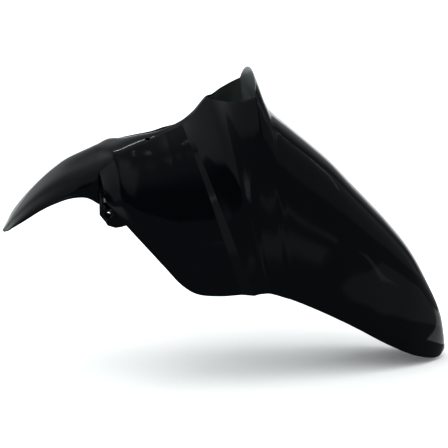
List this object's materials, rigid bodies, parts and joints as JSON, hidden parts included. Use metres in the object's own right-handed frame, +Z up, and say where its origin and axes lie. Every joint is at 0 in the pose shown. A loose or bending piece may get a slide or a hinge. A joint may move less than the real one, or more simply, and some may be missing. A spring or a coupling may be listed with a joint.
{
  "type": "motorcycle front mudguard",
  "caption": "Gloss black moulded front mudguard for an underbone motorcycle: tapering hood, peaked opening for the fork bridge, side panels over the fork legs, narrow tail",
  "frame": {"origin": "middle of the axis of the two fork leg bolts, on the centre plane", "axes": "+X to the nose, +Z up, Y across the part, in the attitude of the picture; on the motorcycle the part is turned about Y so that the nose rises"},
  "size_m": [0.683, 0.2108, 0.4617],
  "materials": {
    "moulding": "gloss black, smooth moulded face"
  },
  "bodies": {
    "root": {"mudguard": "moulding"}
  },
  "joints": []
}
